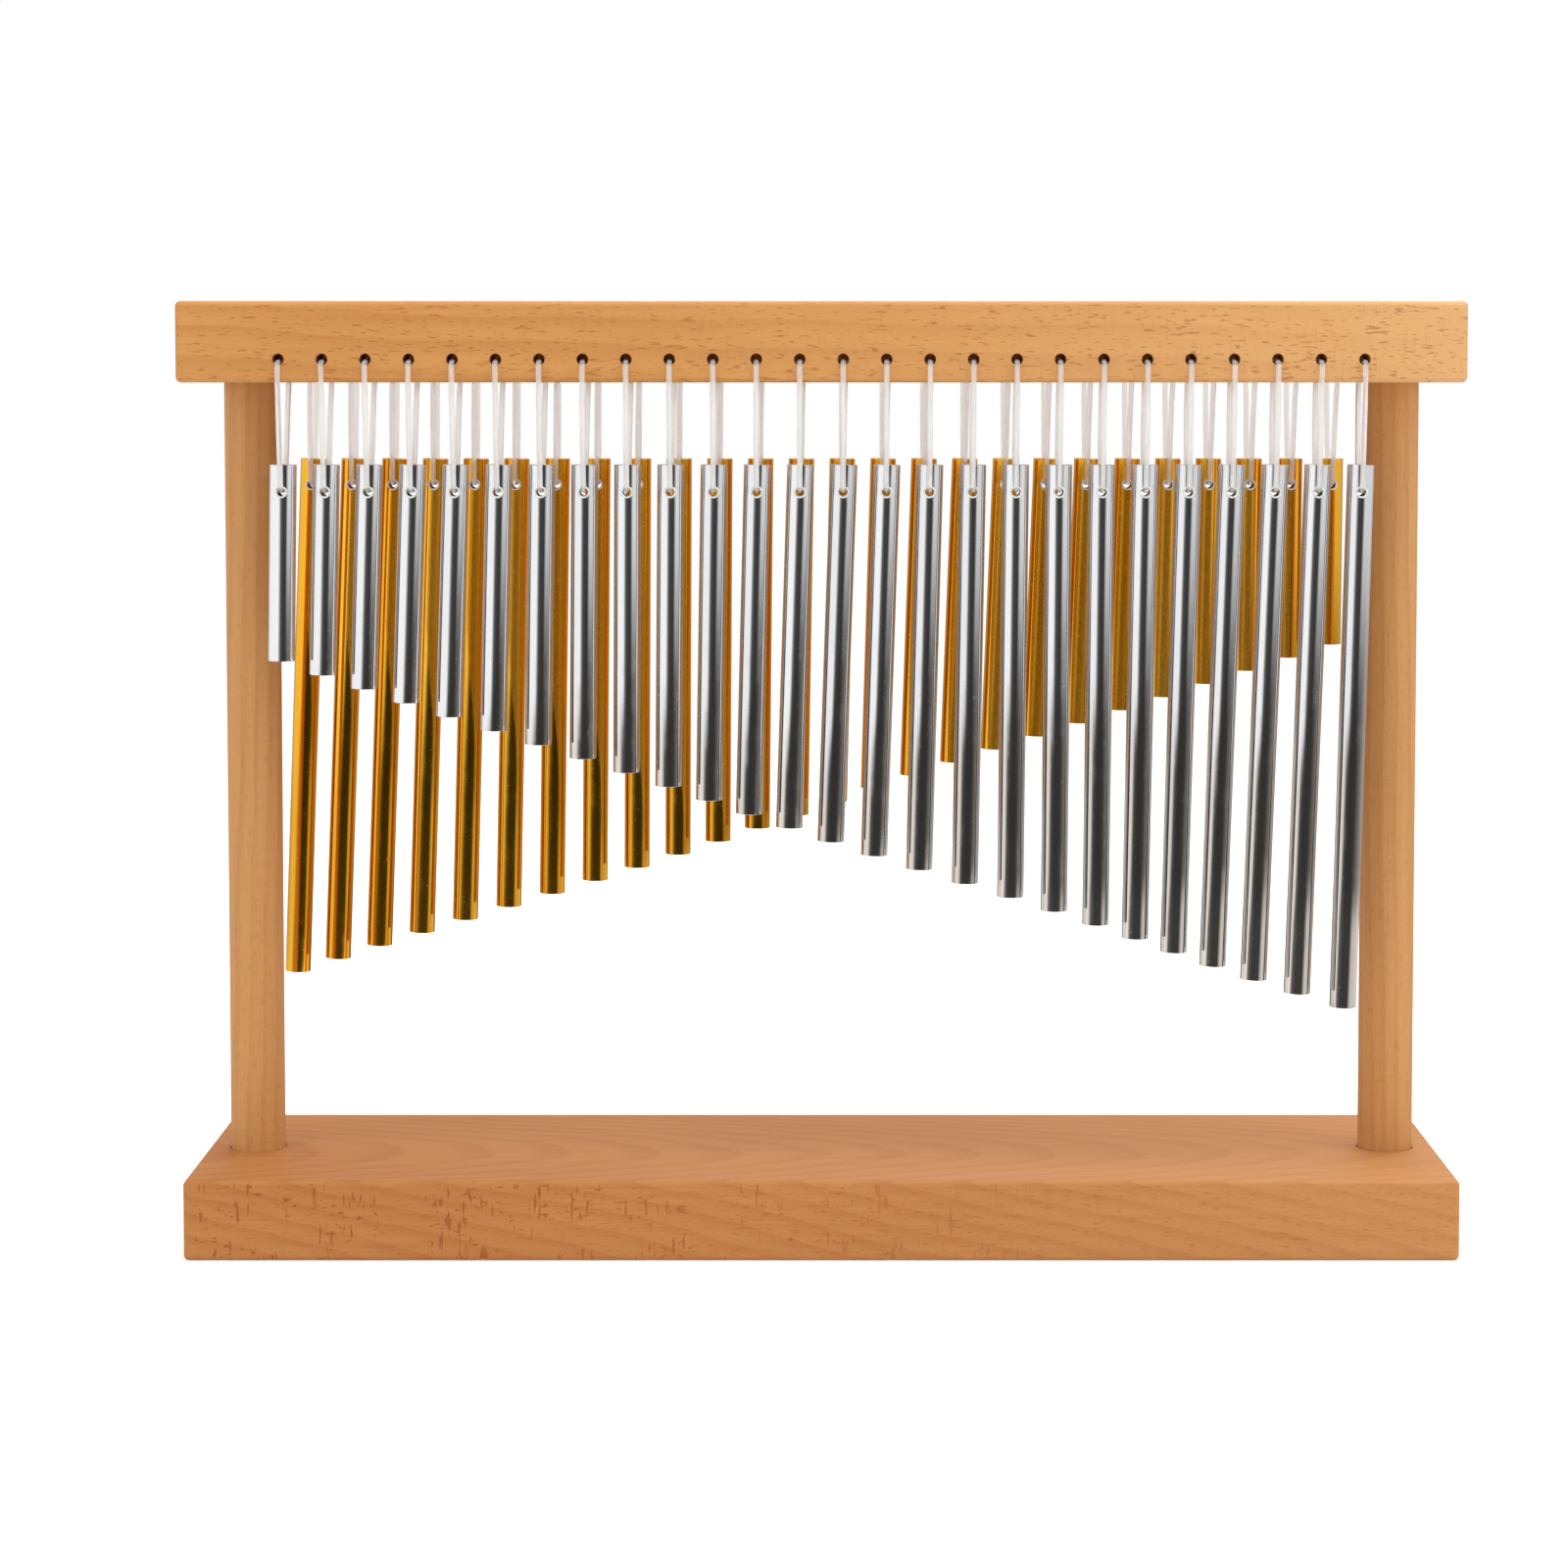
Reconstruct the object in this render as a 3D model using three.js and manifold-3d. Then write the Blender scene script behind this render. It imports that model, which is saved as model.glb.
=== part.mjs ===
// Double row wind chime: two rows of hanging tubes under a wooden rail that stands on two posts.
// Millimetres. +X runs along the rows to the player's right, +Y away from the player, +Z up.
// The origin is the centre of the base board's underside.
import * as THREE from "three";
import { mergeVertices } from "three/addons/utils/BufferGeometryUtils.js";
import Module from "manifold-3d";

// Tubes
const TUBES_PER_ROW = 26;
const TUBE_DIAMETER = 10;
const TUBE_WALL = 1;
const TUBE_GAP = 6;
const SHORTEST_TUBE = 73;
const LONGEST_TUBE = 203;
const HOLE_BELOW_TUBE_TOP = 10;
const TUBE_SIDES = 12;

// The tubes hang a little out of plumb, in a slow wave along each row (degrees, and tubes)
const SILVER_LEAN = { mean: 1.2, wave: 0.8, period: 10, first: 3 };
const GOLD_LEAN = { mean: 1.3, wave: 1.0, period: 16, first: 1 };

// Cord and its holes
const CORD_DIAMETER = 2;
const CORD_SIDES = 6;
const CORD_TAIL = 5;
const TUBE_HOLE_PLAY = 1.8;
const RAIL_HOLE_PLAY = 2.3;
const RAIL_HOLE_HEIGHT = 8.5;
const GROOVE_DEPTH = 11;
const GROOVE_END_ROOM = 2;
const RISER_SHIFT = 0.8;
const HOLE_SIDES = 8;

// Frame
const BOARD_HEIGHT = 30;
const RAIL_HEIGHT = 30;
const RAIL_DEPTH = 100;
const BOARD_OVERHANG = 10;
const BOARD_SHORTER = 1.5;
const TUBE_TO_POST = 2.1;
const POST_TO_RAIL_END = 10.1;
const POST_DIAMETER = 20.8;
const POST_SIDES = 32;
const POST_CHAMFER = 1;
const WOOD_BEHIND_SOCKET = 10;
const EDGE_RADIUS = 1.5;
const ROW_INSET = 10;
const GROOVE_INSET = 21.5;
const RAIL_TO_TUBE = 30.5;
const TUBE_TO_BOARD = 61.5;
const CLEARANCE = 0.3;
const DRILL_OVERRUN = 1;

// Worked out from the sizes above
const TUBE_HOLE_DIAMETER = CORD_DIAMETER + TUBE_HOLE_PLAY;
const RAIL_HOLE_DIAMETER = CORD_DIAMETER + RAIL_HOLE_PLAY;
const PITCH = TUBE_DIAMETER + TUBE_GAP;
const ROW_HALF = ((TUBES_PER_ROW - 1) * PITCH) / 2;
const POST_X = ROW_HALF + TUBE_DIAMETER / 2 + TUBE_TO_POST + POST_DIAMETER / 2;
const RAIL_LENGTH = 2 * (POST_X + POST_DIAMETER / 2 + POST_TO_RAIL_END);
const BOARD_LENGTH = RAIL_LENGTH - 2 * BOARD_SHORTER;
const BOARD_DEPTH = RAIL_DEPTH + 2 * BOARD_OVERHANG;
const BOARD_SOCKET_DEPTH = BOARD_HEIGHT - WOOD_BEHIND_SOCKET;
const RAIL_SOCKET_DEPTH = RAIL_HEIGHT - WOOD_BEHIND_SOCKET;
const RAIL_BOTTOM = BOARD_HEIGHT + TUBE_TO_BOARD + LONGEST_TUBE + RAIL_TO_TUBE;
const TUBE_TOP = RAIL_BOTTOM - RAIL_TO_TUBE;
const TUBE_HOLE_Z = TUBE_TOP - HOLE_BELOW_TUBE_TOP;
const ROW_Y = -(RAIL_DEPTH / 2 - ROW_INSET);
const GROOVE_Y = -(RAIL_DEPTH / 2 - GROOVE_INSET);
const GROOVE_WIDTH = 2 * CORD_DIAMETER + 3 * CLEARANCE;
const BEND = 0.75 * CORD_DIAMETER;
const GROOVE_HALF = ROW_HALF + RISER_SHIFT + CORD_TAIL + GROOVE_END_ROOM;

const wasm = await Module();
wasm.setup();

function solidOf(geometry) {
  const bare = geometry.index ? geometry.toNonIndexed() : geometry.clone();
  for (const name of Object.keys(bare.attributes)) {
    if (name !== "position") bare.deleteAttribute(name);
  }
  const merged = mergeVertices(bare, 1e-4);
  const mesh = new wasm.Mesh({
    numProp: 3,
    vertProperties: Float32Array.from(merged.attributes.position.array),
    triVerts: Uint32Array.from(merged.index.array),
  });
  return new wasm.Manifold(mesh);
}

function geometryOf(solid) {
  const { vertProperties, triVerts } = solid.getMesh();
  const geometry = new THREE.BufferGeometry();
  geometry.setAttribute("position", new THREE.BufferAttribute(Float32Array.from(vertProperties), 3));
  geometry.setIndex(new THREE.BufferAttribute(Uint32Array.from(triVerts), 1));
  geometry.computeVertexNormals();
  return geometry;
}

function cutAway(geometry, cutters) {
  return geometryOf(cutters.map(solidOf).reduce((rest, cutter) => rest.subtract(cutter), solidOf(geometry)));
}

// A drill whose flats lie on the true circle, centred on the origin along Z
function drill(diameter, length, sides) {
  const corner = diameter / 2 / Math.cos(Math.PI / sides);
  return new THREE.CylinderGeometry(corner, corner, length, sides)
    .rotateY(Math.PI / sides)
    .rotateX(Math.PI / 2);
}

// A board standing on z = 0, with rounded edges, and upright corners rounded half as much again
function board(length, depth, height) {
  const x = length / 2 - EDGE_RADIUS;
  const y = depth / 2 - EDGE_RADIUS;
  const corner = EDGE_RADIUS / 2;
  const outline = new THREE.Shape();
  outline.absarc(x - corner, y - corner, corner, 0, Math.PI / 2);
  outline.absarc(corner - x, y - corner, corner, Math.PI / 2, Math.PI);
  outline.absarc(corner - x, corner - y, corner, Math.PI, 1.5 * Math.PI);
  outline.absarc(x - corner, corner - y, corner, 1.5 * Math.PI, 2 * Math.PI);
  const geometry = new THREE.ExtrudeGeometry(outline, {
    depth: height - 2 * EDGE_RADIUS,
    bevelThickness: EDGE_RADIUS,
    bevelSize: EDGE_RADIUS,
    bevelSegments: 2,
    curveSegments: 2,
  });
  return geometry.translate(0, 0, EDGE_RADIUS);
}

// The two holes that the posts stand in, drilled this deep through the face at height mouth
function postSockets(mouth, depth) {
  return [-POST_X, POST_X].map((x) =>
    drill(POST_DIAMETER + 2 * CLEARANCE, 2 * depth, POST_SIDES).translate(x, 0, mouth),
  );
}

function baseBoard() {
  const blank = board(BOARD_LENGTH, BOARD_DEPTH, BOARD_HEIGHT);
  return cutAway(blank, postSockets(BOARD_HEIGHT, BOARD_SOCKET_DEPTH));
}

function tubeX(index) {
  return index * PITCH - ROW_HALF;
}

// The rail's cord holes and groove for the front row; the back row's are the same, half a turn on
function cordWays() {
  const holeLength = RAIL_DEPTH / 2 + GROOVE_Y + DRILL_OVERRUN;
  const holes = Array.from({ length: TUBES_PER_ROW }, (_, index) =>
    drill(RAIL_HOLE_DIAMETER, holeLength, HOLE_SIDES)
      .rotateX(Math.PI / 2)
      .translate(tubeX(index), GROOVE_Y - holeLength / 2, RAIL_HOLE_HEIGHT),
  );
  const groove = new THREE.BoxGeometry(2 * GROOVE_HALF, GROOVE_WIDTH, 2 * GROOVE_DEPTH);
  return [...holes, groove.translate(0, GROOVE_Y, 0)];
}

function topRail() {
  const blank = board(RAIL_LENGTH, RAIL_DEPTH, RAIL_HEIGHT);
  const sockets = postSockets(0, RAIL_SOCKET_DEPTH);
  const front = cordWays();
  const back = cordWays().map((cutter) => cutter.rotateZ(Math.PI));
  return cutAway(blank, [...sockets, ...front, ...back]);
}

// A post from the floor of the board's socket to just under the end of the rail's
function post() {
  const radius = POST_DIAMETER / 2;
  const height = RAIL_BOTTOM + RAIL_SOCKET_DEPTH - CLEARANCE - WOOD_BEHIND_SOCKET;
  const profile = [
    new THREE.Vector2(0, 0),
    new THREE.Vector2(radius - POST_CHAMFER, 0),
    new THREE.Vector2(radius, POST_CHAMFER),
    new THREE.Vector2(radius, height - POST_CHAMFER),
    new THREE.Vector2(radius - POST_CHAMFER, height),
    new THREE.Vector2(0, height),
  ];
  return new THREE.LatheGeometry(profile, POST_SIDES).rotateX(Math.PI / 2);
}

// A tube hung from the origin, which is the middle of its cross hole
function tube(length) {
  const outer = TUBE_DIAMETER / 2;
  const inner = outer - TUBE_WALL;
  const profile = [
    new THREE.Vector2(inner, 0),
    new THREE.Vector2(outer, 0),
    new THREE.Vector2(outer, length),
    new THREE.Vector2(inner, length),
    new THREE.Vector2(inner, 0),
  ];
  const wall = new THREE.LatheGeometry(profile, TUBE_SIDES)
    .rotateX(Math.PI / 2)
    .translate(0, 0, HOLE_BELOW_TUBE_TOP - length);
  const crossHole = drill(TUBE_HOLE_DIAMETER, 2 * TUBE_DIAMETER, HOLE_SIDES).rotateX(Math.PI / 2);
  return cutAway(wall, [crossHole]);
}

// A route of straight runs between given points, sampled at the points themselves
class LacedRoute extends THREE.Curve {
  constructor(points) {
    super();
    this.points = points;
    this.runs = points.length - 1;
  }

  getPoint(t, target = new THREE.Vector3()) {
    const place = Math.min(t * this.runs, this.runs - 1e-9);
    const run = Math.floor(place);
    return target.lerpVectors(this.points[run], this.points[run + 1], place - run);
  }

  getPointAt(u, target) {
    return this.getPoint(u, target);
  }

  getTangentAt(u, target = new THREE.Vector3()) {
    const here = Math.round(u * this.runs);
    const before = this.points[Math.max(here - 1, 0)];
    const at = this.points[here];
    const after = this.points[Math.min(here + 1, this.runs)];
    const arriving = at.clone().sub(before).normalize();
    const leaving = after.clone().sub(at).normalize();
    return target.addVectors(arriving, leaving).normalize();
  }
}

// One tube's share of the lacing: out of the groove through the rail's hole, down in front of the tube,
// through the tube, and up behind it into the groove again, where the two strands lie side by side
function lacingAt(x) {
  const face = -RAIL_DEPTH / 2;
  const railZ = RAIL_BOTTOM + RAIL_HOLE_HEIGHT - RAIL_HOLE_DIAMETER / 2 + CORD_DIAMETER / 2 + CLEARANCE;
  const tubeZ = TUBE_HOLE_Z + TUBE_HOLE_DIAMETER / 2 - CORD_DIAMETER / 2 - CLEARANCE;
  const wall = TUBE_DIAMETER / 2;
  const beside = wall + CORD_DIAMETER / 2 + 2 * CLEARANCE;
  const out = face - CORD_DIAMETER / 2;
  const leaving = GROOVE_Y - (CORD_DIAMETER + CLEARANCE) / 2;
  const arriving = GROOVE_Y + (CORD_DIAMETER + CLEARANCE) / 2;
  return [
    [x - BEND, leaving, railZ],
    [x, leaving - BEND, railZ],
    [x, out, railZ],
    [x, out - BEND, railZ - BEND],
    [x, ROW_Y - beside, tubeZ + beside - wall - CLEARANCE],
    [x, ROW_Y - wall - CLEARANCE, tubeZ],
    [x, ROW_Y + wall + CLEARANCE, tubeZ],
    [x, ROW_Y + beside, tubeZ + beside - wall - CLEARANCE],
    [x + RISER_SHIFT, arriving, railZ - BEND],
    [x + RISER_SHIFT + BEND, arriving, railZ],
  ].map((point) => new THREE.Vector3(...point));
}

// The lacing of a whole row, whose strands come up behind the tubes a little towards side, +1 or -1 along X
function rowCord(side) {
  const indices = Array.from({ length: TUBES_PER_ROW }, (_, index) => index);
  const laced = indices.flatMap((index) => lacingAt(tubeX(index)));
  const first = laced[0].clone();
  first.x -= CORD_TAIL;
  const last = laced[laced.length - 1].clone();
  last.x += CORD_TAIL - BEND;
  const route = new LacedRoute([first, ...laced, last].map((point) => point.setX(side * point.x)));
  const section = new THREE.Shape();
  for (let corner = 0; corner < CORD_SIDES; corner += 1) {
    const angle = (2 * Math.PI * corner) / CORD_SIDES;
    const x = (CORD_DIAMETER / 2) * Math.cos(angle);
    const y = (CORD_DIAMETER / 2) * Math.sin(angle);
    if (corner === 0) section.moveTo(x, y);
    else section.lineTo(x, y);
  }
  return new THREE.ExtrudeGeometry(section, { steps: route.runs, extrudePath: route });
}

const beech = new THREE.MeshStandardMaterial({ color: 0xd9a066, roughness: 0.55, metalness: 0 });
const polishedSilver = new THREE.MeshStandardMaterial({ color: 0xd8dadc, roughness: 0.15, metalness: 1 });
const goldAnodised = new THREE.MeshStandardMaterial({ color: 0xd79a35, roughness: 0.2, metalness: 1 });
const whiteCord = new THREE.MeshStandardMaterial({ color: 0xefece4, roughness: 0.8, metalness: 0 });

function named(name, geometry, material, x = 0, y = 0, z = 0) {
  const mesh = new THREE.Mesh(geometry, material.clone());
  mesh.name = name;
  mesh.position.set(x, y, z);
  return mesh;
}

function leanAt({ mean, wave, period, first }, index) {
  return THREE.MathUtils.degToRad(mean + wave * Math.cos((2 * Math.PI * (index - first)) / period));
}

function lengthAt(index) {
  return THREE.MathUtils.lerp(SHORTEST_TUBE, LONGEST_TUBE, index / (TUBES_PER_ROW - 1));
}

// A row as it hangs in front: shortest tube at -X, longest at +X. numberOf gives a tube its number from the
// player's left. facing is 1 for the front row, and -1 for the back row, which is turned half round.
function row(metal, material, lean, numberOf, facing) {
  const group = new THREE.Group();
  for (let index = 0; index < TUBES_PER_ROW; index += 1) {
    const number = numberOf(index);
    const name = `${metal}_tube_${String(number).padStart(2, "0")}`;
    const hung = named(name, tube(lengthAt(index)), material, tubeX(index), ROW_Y, TUBE_HOLE_Z);
    hung.rotation.y = facing * leanAt(lean, number - 1);
    group.add(hung);
  }
  group.add(named(`${metal}_row_cord`, rowCord(facing), whiteCord));
  return group;
}

const windChime = new THREE.Group();
windChime.add(named("base_board", baseBoard(), beech));
windChime.add(named("left_post", post(), beech, -POST_X, 0, WOOD_BEHIND_SOCKET));
windChime.add(named("right_post", post(), beech, POST_X, 0, WOOD_BEHIND_SOCKET));
windChime.add(named("top_rail", topRail(), beech, 0, 0, RAIL_BOTTOM));

const silverRow = row("silver", polishedSilver, SILVER_LEAN, (index) => index + 1, 1);
const goldRow = row("gold", goldAnodised, GOLD_LEAN, (index) => TUBES_PER_ROW - index, -1);
goldRow.rotation.z = Math.PI;
windChime.add(silverRow, goldRow);

export default windChime;
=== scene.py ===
"""Table-top bar chimes: two rows of tubes, laced on cord under a wooden rail that stands on two posts.

Lengths are in metres, in the frame of the packed part: +X to the player's right, +Y away from the
player, +Z up, and the origin under the middle of the base board. What the packed part already has
is read from it, and the sizes and colours of the finish are properties of the scene.
"""

import math
from collections import namedtuple

import bmesh
import bpy
from mathutils import Matrix, Vector


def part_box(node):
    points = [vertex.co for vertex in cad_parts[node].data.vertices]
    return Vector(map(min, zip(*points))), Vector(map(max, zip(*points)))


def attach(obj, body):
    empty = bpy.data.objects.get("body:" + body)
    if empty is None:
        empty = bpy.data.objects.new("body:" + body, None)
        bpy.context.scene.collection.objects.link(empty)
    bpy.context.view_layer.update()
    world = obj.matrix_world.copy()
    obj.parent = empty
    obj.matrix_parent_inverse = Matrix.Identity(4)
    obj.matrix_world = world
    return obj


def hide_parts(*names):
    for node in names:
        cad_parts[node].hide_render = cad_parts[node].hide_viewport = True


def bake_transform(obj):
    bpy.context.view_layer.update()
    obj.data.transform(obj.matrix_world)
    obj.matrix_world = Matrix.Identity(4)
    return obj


bl_info = {
    "name": "Double row wind chime",
    "version": (1, 0, 0),
    "blender": (4, 5, 0),
    "location": "3D View > Sidebar > Wind chime",
    "description": "Builds table-top bar chimes piece by piece, with their finishes and a photo stage",
    "category": "Add Mesh",
}

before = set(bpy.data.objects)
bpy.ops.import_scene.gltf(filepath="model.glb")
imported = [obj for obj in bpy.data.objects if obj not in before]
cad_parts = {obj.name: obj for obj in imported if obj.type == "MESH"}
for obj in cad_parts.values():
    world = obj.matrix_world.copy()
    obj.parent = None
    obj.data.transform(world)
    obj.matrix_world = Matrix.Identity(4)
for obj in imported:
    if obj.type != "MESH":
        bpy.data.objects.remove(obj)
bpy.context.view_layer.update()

BOARD_LOW, BOARD_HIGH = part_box("base_board")
RAIL_LOW, RAIL_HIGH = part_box("top_rail")
POSTS = ("left_post", "right_post")
ROWS = (("silver", -1), ("gold", 1))
TUBES_PER_ROW = sum(name.startswith("silver_tube_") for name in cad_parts)

# Sizes that the packed part is cut to
TUBE_DIAMETER = 0.010
TUBE_WALL = 0.001
HOLE_BELOW_TUBE_TOP = 0.010
CLEARANCE = 0.0003
CORD_DIAMETER = 0.002
CORD_TAIL = 0.005
CORD_BEND = 0.75 * CORD_DIAMETER
RISER_SHIFT = 0.0008
TUBE_HOLE_DIAMETER = CORD_DIAMETER + 0.0018
RAIL_HOLE_DIAMETER = CORD_DIAMETER + 0.0023
RAIL_HOLE_HEIGHT = 0.0085
MOUTH_REACH = 0.6 * RAIL_HOLE_DIAMETER
GROOVE_INSET = 0.0215
GROOVE_DEPTH = 0.011
GROOVE_WIDTH = 2 * CORD_DIAMETER + 3 * CLEARANCE
GROOVE_END_ROOM = 0.002
WOOD_BEHIND_SOCKET = 0.010
SOCKET_PLAY = 2 * CLEARANCE

# How finely the pieces are shaped
SAME_PLACE = 1e-6
BOARD_BEVEL_STEPS = 4
POST_BEVEL = 0.001
POST_BEVEL_STEPS = 3
SMALL_BEVEL_STEPS = 2
DRILL_SIDES = 24
DRILL_PAST_FACE = 0.001
SMOOTH_ANGLE = math.radians(35)
FACE_WEIGHT = 80

# The eyelets: each rounding is a step away from an edge, and a share of the flange's thickness
SLEEVE_PLAY = 0.00005
SLEEVE_PAST_WALL = 0.0002
FLANGE_LIFT = 0.00002
FLANGE_FOOT = 0.0001
FLANGE_ROUNDING = ((0, 0.3), (0.00012, 0.75), (0.0003, 1))
BORE_ROUNDING = ((0.00015, 0.9), (0, 0.45))
EYELET_STEPS = 24
EYELET_SMOOTH_ANGLE = math.radians(60)

# The cords: how smooth they are, and how many of each row's longest are picked out
CORNER_CUTS = 3
DECLARED_PER_ROW = 20  # picked out of each row by length; the frame takes 40 declared cords at most

# Noises: features to a metre along X, Y and Z, detail, where they start to show and show in full
Pattern = namedtuple("Pattern", "per_metre detail start full roughness", defaults=(0, 1, 0.5))
BEECH_WAVES = Pattern((9, 30, 30), 3)
BEECH_FIBRES = Pattern((14, 500, 500), 4, 0.3, 0.7, 0.6)
BEECH_CLOUDS = Pattern((8, 26, 26), 2, 0.35, 0.65)
BEECH_DASHES = Pattern((230, 1200, 1200), 1, 0.6, 0.72)
BEECH_RAYS = Pattern((640, 640, 105), 1, 0.62, 0.67)
BEECH_SPECKS = Pattern((300, 700, 620), 1, 0.64, 0.7)
BEECH_CLUMPS = Pattern((45, 45, 75), 1, 0.44, 0.56)
METAL_LINES = Pattern((2600, 2600, 12), 2)
METAL_MARKS = Pattern((140, 140, 90), 3, 0.45, 0.75)
METAL_SHADES = Pattern((75, 75, 3), 0, 0.35, 0.65)
METAL_SPECKS = Pattern((1900, 1900, 1500), 0, 0.76, 0.8)
CORD_FUZZ = Pattern((40, 9000, 1), 2)
PLASTIC_CLOUDS = Pattern((900, 900, 900), 2, 0.4, 0.7)

# Beech: its yearly rings, how far waves push rings and fibres aside, how deep each part colours it, and
# the calm top face of a board, where there are no rays and fewer dashes
RINGS_PER_METRE = 200
LATE_WOOD = (0.35, 0.9)
YEAR_END = (1.0, 0.93)
RING_WAVER = 0.006
FIBRE_WAVER = 0.004
RING_DEPTH = 0.5
FIBRE_DEPTH = 0.4
CLOUD_DEPTH = 0.35
GRAIN_DEPTH = 0.8
SAP_CLOUDS = 0.8
FLECK_DEPTH = 0.9
CALM_EDGE = 0.002
CALM_DASHES = 0.15
CALM_SKIN = 0.0001
NO_CALM = 9  # higher than any piece

# The braid: how much of its height is fuzz, and how high the relief is where a strand's crown starts
FUZZ_DEPTH = 0.25
BRAID_CROWNS = (0.55, 0.95)

# The floor, and a room of glowing paper that only polished metal sees: painted reflections, whose dark and
# bright bands give the tubes their dark stripes and light streaks
FLOOR_HALF = 6
FLOOR_THICKNESS = 0.02
FLOOR_ROUNDING = 0.005
ROOM_NEAR = 0.25
ROOM_FAR = 1.60
ROOM_HEIGHT = 1.8
ROOM_LIFT = 0.002
ROOM_STEPS = 64
ROOM_SEAM = 1e-5

# Where one band of painted reflection softens into the next: near into foot along the floor, and foot into
# top up the wall, which is higher on the right. The right side is a share of the whole turn.
NEAR_TO_FOOT = (0.83, 1.01)
FOOT_TO_TOP = (0.025, 0.08)
HIGHER_ON_RIGHT = 0.13
RIGHT_SIDE = (0.5, 0.56)

# The stops of the painted reflections: degrees to the right of straight ahead, and brightness.
# The dark stops paint the stripes that the tubes reflect, and the bright ones their light streaks.
PAINTED_REFLECTION_TOP = (
    (-180, 0.35), (-140, 0.4), (-108, 0.95), (-32, 1), (-14, 0.12), (2, 0.05), (30, 0.05), (46, 0.75),
    (105, 0.75), (130, 0.45), (180, 0.35),
)
PAINTED_REFLECTION_FOOT = (
    (-180, 0.4), (-140, 0.5), (-106, 0.62), (-88, 0.88), (-58, 0.78), (-36, 0.07), (-5, 0.035), (40, 0.04),
    (65, 0.12), (100, 0.3), (150, 0.45), (180, 0.4),
)
PAINTED_REFLECTION_NEAR = (
    (-180, 0.2), (-150, 0.3), (-128, 0.75), (-70, 0.95), (-46, 0.12), (-10, 0.05), (42, 0.05), (60, 0.62),
    (130, 0.8), (154, 0.25), (180, 0.2),
)
# A warm tint in the floor-level bands: painted warm reflection.
PAINTED_REFLECTION_TINT = (1, 0.92, 0.83)
NO_TINT = (1, 1, 1)

# The lamps: where each is, its width and height, and its power
LAMPS = {
    "top_lamp": ((0.2, -0.3, 1.5), (1.4, 1.0), 12),
    "back_lamp": ((0.3, 0.9, 1.1), (1.4, 0.6), 7),
    "right_lamp": ((1.5, -0.9, 0.7), (0.6, 1.0), 3.5),
    "left_lamp": ((-1.5, -0.9, 0.7), (0.6, 1.0), 3),
}
SENSOR_WIDTH = 36  # millimetres, as Blender takes it
MM_PER_METRE = 1000

Tube = namedtuple("Tube", "name side hole lean length")


# Reading the packed part

def middle(points):
    """The middle of the points' box."""
    sides = [(min(axis), max(axis)) for axis in zip(*points)]
    return Vector([(low + high) / 2 for low, high in sides])


def read_tube(name, side):
    """Where a tube of the packed part hangs: the middle of its cross hole, its lean and its length."""
    points = [vertex.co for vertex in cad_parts[name].data.vertices]
    heights = [point.z for point in points]
    near = TUBE_DIAMETER / 8
    top = middle([point for point in points if max(heights) - point.z < near])
    bottom = middle([point for point in points if point.z - min(heights) < near])
    up = (top - bottom).normalized()
    hole = top - HOLE_BELOW_TUBE_TOP * up
    return Tube(name, side, hole, math.atan2(up.x, up.z), (top - bottom).length)


def row_of(metal, side):
    """A row's tubes, from the player's left to right."""
    return [read_tube(f"{metal}_tube_{number:02d}", side) for number in range(1, TUBES_PER_ROW + 1)]


def row_place():
    """How far the rows hang from the middle, and how high their cross holes are."""
    hole = read_tube("silver_tube_01", -1).hole
    return abs(hole.y), hole.z


# Modelling by hand, in code

def select_only(*objects):
    """Selects these objects alone, and makes the first one active."""
    bpy.ops.object.select_all(action="DESELECT")
    for obj in objects:
        obj.select_set(True)
    bpy.context.view_layer.objects.active = objects[0]


def settle(obj, name):
    """Names a new object, and moves its place, turn and size into its mesh."""
    obj.name = name
    obj.data.name = name
    select_only(obj)
    bpy.ops.object.transform_apply(location=True, rotation=True, scale=True)
    return obj


def block(name, low, high):
    """A plain block between two corners, as a start."""
    low, high = Vector(low), Vector(high)
    bpy.ops.mesh.primitive_cube_add(size=1, location=(low + high) / 2, scale=high - low)
    return settle(bpy.context.active_object, name)


def rod(name, diameter, start, end, sides, ends="NGON"):
    """A plain round rod between two points, as a start. Its flats lie on the true circle."""
    start, end = Vector(start), Vector(end)
    bpy.ops.mesh.primitive_cylinder_add(
        vertices=sides, radius=diameter / 2, depth=(end - start).length, end_fill_type=ends,
        location=(start + end) / 2, rotation=(end - start).to_track_quat("Z", "Y").to_euler(),
    )
    return settle(bpy.context.active_object, name)


def outline(name, points):
    """A closed line through the points, as a start."""
    bpy.ops.mesh.primitive_circle_add(vertices=len(points))
    obj = settle(bpy.context.active_object, name)
    for vertex, point in zip(obj.data.vertices, points):
        vertex.co = point
    return obj


def spin_round(steps, axis, seam):
    """Spins what is in edit mode once round an axis, and merges the seam."""
    bpy.ops.mesh.select_all(action="SELECT")
    bpy.ops.mesh.spin(steps=steps, angle=2 * math.pi, center=(0, 0, 0), axis=axis)
    bpy.ops.mesh.select_all(action="SELECT")
    bpy.ops.mesh.remove_doubles(threshold=seam)


def apply_modifier(obj, kind, **settings):
    """Adds one modifier with these settings and applies it."""
    select_only(obj)
    modifier = obj.modifiers.new(kind.title(), kind)
    for name, value in settings.items():
        setattr(modifier, name, value)
    bpy.ops.object.modifier_apply(modifier=modifier.name)


def cut(obj, cutters):
    """Cuts the cutters, which don't meet each other, out of obj, and throws them away."""
    select_only(*cutters)
    bpy.ops.object.join()
    cutter = bpy.context.active_object
    apply_modifier(obj, "BOOLEAN", object=cutter, operation="DIFFERENCE", solver="EXACT")
    bpy.data.objects.remove(cutter)


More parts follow.
